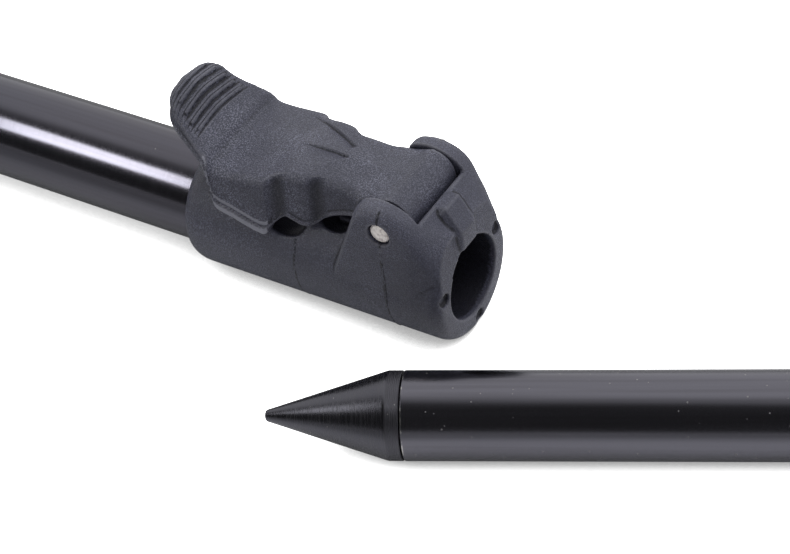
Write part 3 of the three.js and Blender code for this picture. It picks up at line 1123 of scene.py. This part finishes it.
                # Painted shade: points deep in a flute get a low relief, which the finish darkens.
                painted_light[vert.index] = self.flute_painted_shade - self.flute_shade * flute / self.flute_depth
            banded = self.lip_from < back < self.lip_to and height < self.lip_height
            if vert.normal.z > self.carved_slope and not banded:
                push -= self.groove_at(back, side)
                push -= self.scoop_depth * max(scoop.share_at(back, side) for scoop in self.scoops)
            elif back > self.skirt_from:
                out, shade = self.lip_at(back, height, between(widths, vert.co.x) - abs(side))
                if shade is not None:
                    painted_light[vert.index] = shade
            moves.append((vert, vert.normal * push + Vector((0.0, out * math.copysign(1.0, side), 0.0))))
        for vert, move in moves:
            vert.co += move
        return painted_light

    def feet_and_widths(self, bm: BMesh) -> tuple[dict[int, float], dict[int, float]]:
        """Measure the lever in short stretches of its length.

        Args:
            bm: The rounded lever.

        Returns:
            Its lowest height in each stretch, and its half width near that foot.
        """
        feet: dict[int, float] = {}
        widths: dict[int, float] = {}
        for vert in bm.verts:
            key = stretch_at(vert.co.x)
            feet[key] = min(feet.get(key, 1.0), vert.co.z)
        for vert in bm.verts:
            key = stretch_at(vert.co.x)
            if vert.co.z - feet[key] < self.lip_crease:
                widths[key] = max(widths.get(key, 0.0), abs(vert.co.y - self.pivot.y))
        return feet, widths

    def even_out(self, bm: BMesh, feet: dict[int, float]) -> None:
        """Smooth the lever's top and flutes to flowing faces, and lower its ribs.

        Args:
            bm: The lever.
            feet: Its lowest height in each short stretch of its length.
        """
        bm.normal_update()
        flowing, ribbed = [], []
        for vert in bm.verts:
            back = self.pivot.x - vert.co.x
            height = vert.co.z - feet.get(stretch_at(vert.co.x), 0.0)
            if back > self.grip_from:
                if vert.normal.z > self.ribbed_slope:
                    ribbed.append(vert)
            elif vert.normal.z > self.flowing_slope and back > self.hub_from:
                flowing.append(vert)
            elif back > self.skirt_from and height > self.plain_foot and abs(vert.normal.y) > self.flank_slope:
                flowing.append(vert)
        for verts, passes in ((flowing, self.flow_passes), (ribbed, self.rib_passes)):
            for _ in range(passes):
                bmesh.ops.smooth_vert(
                    bm, verts=verts, factor=SMOOTHING, use_axis_x=True, use_axis_y=True, use_axis_z=True,
                )

    def cut_loops(self, bm: BMesh) -> None:
        """Add close cuts across the thumb grip, so that its grooves come out crisp.

        Args:
            bm: The lever.
        """
        step = self.groove_width * self.loop_step
        first = self.groove_start - self.loops_before * step
        last = self.groove_start + (self.groove_count - 1) * self.groove_pitch + self.loops_after * step
        for index in range(int((last - first) / step) + 1):
            cut = self.pivot.x - first - index * step
            near = [
                face for face in bm.faces
                if abs(face.calc_center_median().x - cut) < 2 * self.lever_voxel and face.normal.z > 0.3
            ]
            cut_across(bm, near, cut, 0.02 * MM)

    def groove_at(self, back: float, side: float) -> float:
        """Return how deep the thumb grooves are at a place.

        Args:
            back: The distance behind the pivot.
            side: The distance from the lever's middle.

        Returns:
            The depth.
        """
        across = abs(side) / self.groove_reach
        if across >= self.groove_fade[1]:
            return 0.0
        fade = 1.0 - smooth_step(across, *self.groove_fade)
        place = back - self.groove_start - self.groove_bow * (1.0 - across * across)
        depth = 0.0
        for index in range(self.groove_count):
            off = (place - index * self.groove_pitch) / self.groove_width
            depth += self.groove_depth * math.exp(-off * off)
            mid = (place - (index + 0.5) * self.groove_pitch) / (self.groove_mid_width * self.groove_width)
            if index < self.groove_count - 1:
                depth += self.groove_mid * self.groove_depth * math.exp(-mid * mid)
        return depth * fade

    def flute_at(self, vert: BMVert, back: float) -> float:
        """Return how deep the flutes are that rise from the finger notches to the lever's top.

        Args:
            vert: A point of the lever.
            back: Its distance behind the pivot.

        Returns:
            The depth.
        """
        lowest, highest = self.flute_slopes
        if vert.normal.z < lowest or vert.normal.z > highest:
            return 0.0
        flank = smooth_step(abs(vert.normal.y), *self.flute_flank)
        depth = sum(math.exp(-(((back - place) / self.flute_width) ** 2)) for place in self.flutes)
        return self.flute_depth * depth * flank

    def lip_at(self, back: float, height: float, inside: float) -> tuple[float, float | None]:
        """Shape the plain upright band along the skirt's lower edge, which has one line cut along it, and paint the
        band pale as a painted highlight with a painted shade line along the cut.

        Args:
            back: A point's distance behind the pivot.
            height: Its height above the lever's foot there.
            inside: How far it lies inside the foot's outer face.

        Returns:
            How far the point moves out from the lever's middle plane, and its painted relief in the band: a painted
            highlight, with painted shade along the cut line.
        """
        if height > self.lip_height or inside > self.lip_wall:
            return 0.0, None
        there = smooth_step(back, self.lip_from, self.lip_from + self.lip_fade_in)
        there *= 1.0 - smooth_step(back, self.lip_to - self.lip_fade_out, self.lip_to)
        low, high = self.lip_blend
        upright = 1.0 - smooth_step(height, self.lip_crease - low, self.lip_crease - high)
        upright *= 1.0 - smooth_step(inside, 0.5 * self.lip_wall, self.lip_wall)
        painted_crease_shade = math.exp(-(((height - self.lip_crease) / self.lip_crease_width) ** 2))
        # Painted highlight on the band, darkened along the cut line as painted shade.
        shade = self.lip_painted_highlight - 0.5 * painted_crease_shade if there > 0.5 else None
        return there * (upright * inside - self.lip_cut * painted_crease_shade), shade

    def build_pin(self) -> None:
        """Spin the pin with domed ends and dent them."""
        low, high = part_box("pivot_pin")
        radius = (high.z - low.z) / 2
        half = (high.y - low.y) / 2
        dome = self.pin_dome
        rim = radius - self.pin_chamfer
        end = [(half - 2 * dome, radius), (half - dome, rim), (half - 0.2 * dome, rim * 0.6), (half, 0.0)]
        profile = [(-along, away) for along, away in reversed(end)] + end
        pin = spun("lever_pin", profile, Lie(self.pivot, math.pi / 2), self.pin_steps)
        with edited(pin) as bm:
            ends = [face for face in bm.faces if abs(face.normal.y) > 0.6]
            edges = list({edge for face in ends for edge in face.edges})
            bmesh.ops.subdivide_edges(bm, edges=edges, cuts=2, use_grid_fill=True)
            for vert in bm.verts:
                side = vert.co.y - self.pivot.y
                if abs(abs(side) - half) < dome:
                    dent = noise.noise(vert.co / self.dent_size) * self.dent_depth
                    vert.co.y -= math.copysign(abs(dent), side)
        dress(pin, self.materials[Slot.STEEL], Body.THICK_SECTION, Slot.STEEL, "pivot_pin")


@dataclass
class ThinSection:
    """The thin tube, the turned point that goes into the ground and the plug in the upper end."""

    lie: Lie
    materials: dict[Slot, Material]
    wall: float = 1.2 * MM
    edge: float = 0.15 * MM
    gap: float = 0.3 * MM
    tip_radius: float = 1.1 * MM
    collar: float = 2.4 * MM
    ring_count: int = 7
    ring_depth: float = 0.07 * MM
    cone_length: float = 22.4 * MM
    spigot_chamfer: float = 0.5 * MM
    plug_flange: float = 1.6 * MM
    grip_depth: float = 0.15 * MM
    tube_steps: int = 144

    def build(self) -> None:
        """Build and dress the three pieces."""
        tube = spun_tube("thin_tube", "inner_tube", self.lie, self.wall, self.tube_steps, self.edge)
        dress(tube, self.materials[Slot.SATIN], Body.THIN_SECTION, Slot.SATIN, "inner_tube")
        self.build_point()
        self.build_plug()

    def build_point(self) -> None:
        """Spin the point: a blunt tip, the cone, a collar with fine rings and the spigot in the tube."""
        _, high, radius = self.lie.reach("ground_point")
        tip, cone = self.tip_radius, self.cone_length
        spigot = radius - self.wall - self.gap
        shoulder = cone + self.collar
        profile: Profile = [(0.0, 0.0), (0.0, 0.45 * tip), (0.12 * tip, 0.8 * tip), (0.4 * tip, tip)]
        profile += [(cone - 0.5 * MM, radius * 0.985), (cone, radius)]
        pitch = self.collar / (self.ring_count + 0.5)
        for index in range(self.ring_count):
            start = cone + (index + 0.5) * pitch
            profile += [(start, radius - self.ring_depth), (start + 0.5 * pitch, radius)]
        profile += [(shoulder - self.edge, radius), (shoulder, radius - self.edge), (shoulder, spigot)]
        profile += [(high - self.spigot_chamfer, spigot), (high, spigot - self.spigot_chamfer), (high, 0.0)]
        point = spun("turned_point", profile, self.lie, 128)
        dress(point, self.materials[Slot.POINT], Body.THIN_SECTION, Slot.POINT, "ground_point")

    def build_plug(self) -> None:
        """Spin the plug: a flange with a shallow dish, and a spigot with two gripping rings."""
        low, high, radius = self.lie.reach("inner_end_plug")
        spigot = radius - self.wall - self.gap
        flange, stem = high - self.plug_flange, spigot - self.grip_depth
        profile: Profile = [(low, 0.0), (low, spigot - 0.6 * MM), (low + 0.8 * MM, stem)]
        for share in (0.35, 0.7):
            ring = low + share * (flange - low)
            profile += [(ring - 0.5 * MM, stem), (ring, spigot), (ring + 0.5 * MM, stem)]
        profile += [(flange, stem), (flange, radius), (high - 0.3 * MM, radius), (high, radius - 0.4 * MM)]
        profile += [(high, 0.45 * radius), (high - 0.4 * MM, 0.35 * radius), (high - 0.4 * MM, 0.0)]
        plug = spun("end_plug", profile, self.lie, 96, self.edge)
        dress(plug, self.materials[Slot.PAD], Body.THIN_SECTION, Slot.PAD, "inner_end_plug")


@dataclass(frozen=True)
class Studio:
    """A white table under soft light, with the camera where the photograph was taken."""

    thick_pieces: tuple[str, ...] = ("thick_tube", "moulded_housing", "thumb_lever", "lever_pin")
    thin_pieces: tuple[str, ...] = ("thin_tube", "turned_point")
    camera_place: Place = (0.17782937, -0.2627548, 0.27639281)
    camera_right: Place = (0.85344989, 0.51131359, -0.10090441)
    camera_up: Place = (-0.28258525, 0.6166709, 0.73475341)
    camera_back: Place = (0.43791422, -0.59856112, 0.67078739)
    lens: float = 96.715
    sensor: float = 36.0
    floor_size: float = 6.0
    floor_colour: Colour = (0.90, 0.90, 0.90)
    # The table's painted contact shadow: how far it looks for pieces, and how its glow follows the open sky.
    shade_reach: float = 55 * MM
    floor_gain: float = 4.35
    floor_base: float = -0.45
    floor_darkest: float = 0.36
    panel_place: Place = (0.05, 0.35, 1.1)
    panel_size: Range = (1.5, 1.1)
    near_place: Place = (-0.1867, -0.1925, 0.2097)
    near_size: Range = (0.112, 0.096)
    # Painted reflection: the table darkens in reflections between these ray lengths.
    mirrored_reach: Range = (4 * MM, 60 * MM)
    dark_side: Range = (-0.12, 0.48)
    horizon: Range = (0.0, 0.05)
    room_colour: Colour = (0.97, 0.98, 1.0)
    room_light: float = 0.90
    near_side_share: float = 0.40
    panel_light: float = 1.5
    near_light: float = 9.8
    screened_light: float = 2.6
    dark_light: float = 0.06
    # Painted reflection: how bright the table looks in reflections close by and far away.
    near_table: float = 1.0
    far_table: float = 0.40

    def build(self) -> None:
        """Set up floor, room, lamps, camera and view."""
        self.build_floor()
        self.build_room()
        self.lamp("overhead_panel", self.panel_place, self.panel_size, self.panel_light, mirrored=False)
        for name, light, pieces in (
            ("near_lamp", self.near_light, self.thick_pieces),
            ("screened_lamp", self.screened_light, self.thin_pieces),
        ):
            lamp = self.lamp(name, self.near_place, self.near_size, light, mirrored=True)
            lamp.light_linking.receiver_collection = self.reach_of(f"{name}_reach", pieces)
        self.build_camera()
        bpy.context.scene.view_settings.view_transform = "Standard"

    def build_floor(self) -> None:
        """Lay the table top: it glows white to the camera, with a painted contact shadow where nearby pieces hide
        the sky, and in reflections it is painted darker with distance.
        """
        bm = bmesh.new()
        bmesh.ops.create_grid(bm, x_segments=1, y_segments=1, size=self.floor_size / 2)
        bmesh.ops.translate(bm, vec=(0, 0, -0.05 * MM), verts=bm.verts)
        floor = object_from("table_top", bm)
        material = bpy.data.materials.new("table_white")
        material.use_nodes = True
        material.node_tree.nodes.clear()
        graph = Graph(material.node_tree)
        rays = graph.add("ShaderNodeLightPath").outputs
        seen = rays["Is Camera Ray"]
        near, far = (self.near_table,) * 3, (self.far_table,) * 3
        # Painted reflection: seen in shiny pieces, the table darkens the farther it lies from them.
        mirrored = graph.tint(graph.ramp(rays["Ray Length"], *self.mirrored_reach), near, far)
        plain = graph.tint(rays["Is Glossy Ray"], self.floor_colour, mirrored)
        paint = graph.add("ShaderNodeBsdfDiffuse", {"Color": plain})
        # Painted shadow: to the camera the table glows, darker where pieces nearby hide the sky.
        open_sky = graph.add("ShaderNodeAmbientOcclusion", {"Distance": self.shade_reach}, samples=16)
        sky_light = graph.plus(graph.times(open_sky.outputs["AO"], self.floor_gain), self.floor_base)
        strength = graph.math("MAXIMUM", sky_light, self.floor_darkest)
        glow = graph.add("ShaderNodeEmission", {"Color": WHITE, "Strength": strength})
        both = graph.add("ShaderNodeMixShader", {0: seen, 1: paint.outputs[0], 2: glow.outputs[0]})
        graph.add("ShaderNodeOutputMaterial", {"Surface": both.outputs[0]})
        floor.data.materials.append(material)

    def build_room(self) -> None:
        """Set the room: white to the camera, even light, and a dark side for reflections."""
        world = bpy.data.worlds.new("studio_room")
        bpy.context.scene.world = world
        world.use_nodes = True
        world.node_tree.nodes.clear()
        graph = Graph(world.node_tree)
        rays = graph.add("ShaderNodeLightPath").outputs
        way = graph.add("ShaderNodeTexCoord").outputs["Generated"]
        split = graph.add("ShaderNodeSeparateXYZ", {0: way}).outputs
        forward = graph.math("DIVIDE", graph.times(split[1], -1.0), graph.math("MAXIMUM", split[2], 0.02))
        shade = graph.times(graph.ramp(forward, *self.dark_side), graph.ramp(split[2], *self.horizon))
        mirrored = graph.rest(graph.times(shade, 1.0 - self.dark_light))
        glossy = graph.add("ShaderNodeBackground", {"Color": WHITE, "Strength": mirrored})
        lighting = graph.times(graph.rest(graph.times(shade, 1.0 - self.near_side_share)), self.room_light)
        even = graph.add("ShaderNodeBackground", {"Color": self.room_colour, "Strength": lighting})
        white = graph.add("ShaderNodeBackground", {"Color": WHITE, "Strength": 1.0})
        lit = graph.add("ShaderNodeMixShader", {0: rays["Is Glossy Ray"], 1: even.outputs[0], 2: glossy.outputs[0]})
        seen = graph.add("ShaderNodeMixShader", {0: rays["Is Camera Ray"], 1: lit.outputs[0], 2: white.outputs[0]})
        graph.add("ShaderNodeOutputWorld", {"Surface": seen.outputs[0]})

    def reach_of(self, name: str, pieces: Iterable[str]) -> Collection:
        """Gather the pieces that a lamp reaches, as a screen beside the lamp sets it.

        Args:
            name: The collection's name.
            pieces: The pieces' names.

        Returns:
            The collection.
        """
        reached = bpy.data.collections.new(name)
        for piece in pieces:
            reached.objects.link(bpy.data.objects[piece])
        return reached

    def lamp(self, name: str, place: Place, size: Range, radiance: float, mirrored: bool) -> Object:
        """Hang a rectangular lamp that faces the object.

        Args:
            name: The lamp's name.
            place: Where it hangs, in metres.
            size: Its width and depth.
            radiance: How bright it looks, where 1 is white.
            mirrored: Whether it is there for shiny pieces to mirror, and not to light matt ones.

        Returns:
            The lamp.
        """
        light = bpy.data.lights.new(name, "AREA")
        light.shape = "RECTANGLE"
        light.size, light.size_y = size
        light.energy = radiance * math.pi * size[0] * size[1]
        lamp = bpy.data.objects.new(name, light)
        bpy.context.scene.collection.objects.link(lamp)
        back = Vector(place).normalized()
        side = Vector((1, 0, 0))
        side = (side - back * side.dot(back)).normalized()
        turn = Matrix((side, back.cross(side), back)).transposed()
        lamp.matrix_world = Matrix.Translation(place) @ turn.to_4x4()
        lamp.visible_glossy = mirrored
        lamp.visible_diffuse = not mirrored
        lamp.visible_camera = False
        return lamp

    def build_camera(self) -> None:
        """Place the camera."""
        data = bpy.data.cameras.new("photo_camera")
        data.lens = self.lens
        data.sensor_width = self.sensor
        data.sensor_fit = "HORIZONTAL"
        data.clip_start = 0.01
        camera = bpy.data.objects.new("photo_camera", data)
        bpy.context.scene.collection.objects.link(camera)
        turn = Matrix((self.camera_right, self.camera_up, self.camera_back)).transposed()
        camera.matrix_world = Matrix.Translation(self.camera_place) @ turn.to_4x4()
        bpy.context.scene.camera = camera


def thick_lie() -> Lie:
    """Find where the thick section's axis lies.

    Returns:
        The axis, from the middle of the lock's mouth.
    """
    low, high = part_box("outer_tube")
    _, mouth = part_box("lock_housing")
    return Lie(Vector((mouth.x, (low.y + high.y) / 2, (low.z + high.z) / 2)))


def thin_lie() -> Lie:
    """Find where the thin section's axis lies.

    Returns:
        The axis, from the tip of the point.
    """
    joint = next(entry for entry in frame["joints"] if entry["name"] == "section_slide")
    heading = math.atan2(joint["axis"][1], joint["axis"][0])
    along = Vector(joint["axis"]).normalized()
    points = [vertex.co for vertex in frame["nodes"]["ground_point"].data.vertices]
    nearest = min(point.dot(along) for point in points)
    tip = [point for point in points if point.dot(along) < nearest + 0.01 * MM]
    middle = sum(tip, Vector()) / len(tip)
    low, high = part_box("ground_point")
    middle.z = (low.z + high.z) / 2
    return Lie(middle, heading)


def main() -> None:
    """Build every piece, light it and report."""
    logging.basicConfig(level=logging.INFO, format="%(name)s: %(message)s")
    effects = SharedEffects()
    thick, thin = thick_lie(), thin_lie()
    finishes = (
        AnodisedTube(Slot.GLOSS),
        AnodisedTube(
            Slot.SATIN, warm=SATIN_TINT, cool=SATIN_TINT, roughness=0.20, ring_spread=0.02, marks=0.003 * MM,
            speck_share=0.4, heading=thin.heading, cut_end=thin.cut("inner_tube"),
        ),
        TurnedMetal(Slot.POINT, heading=thin.heading, matt_from=thin.cut("ground_point") + ThinSection.cone_length),
        TurnedMetal(Slot.INSERT, skin=(0.12, 0.12, 0.125), worn=0.5),
        BareSteel(Slot.STEEL),
        MouldedNylon(Slot.MOULDED),
        PlainMoulding(Slot.PAD),
    )
    materials = {finish.slot: finish.material(effects) for finish in finishes}
    ThickSection(thick, materials).build()
    sparkling = MouldedNylon(Slot.MOULDED, dark=(0.038, 0.039, 0.058), light=(0.205, 0.209, 0.278))
    CamLock(thick, materials, sparkling.material(effects)).build()
    ThinSection(thin, materials).build()
    Studio().build()


if __name__ == "__main__":
    main()
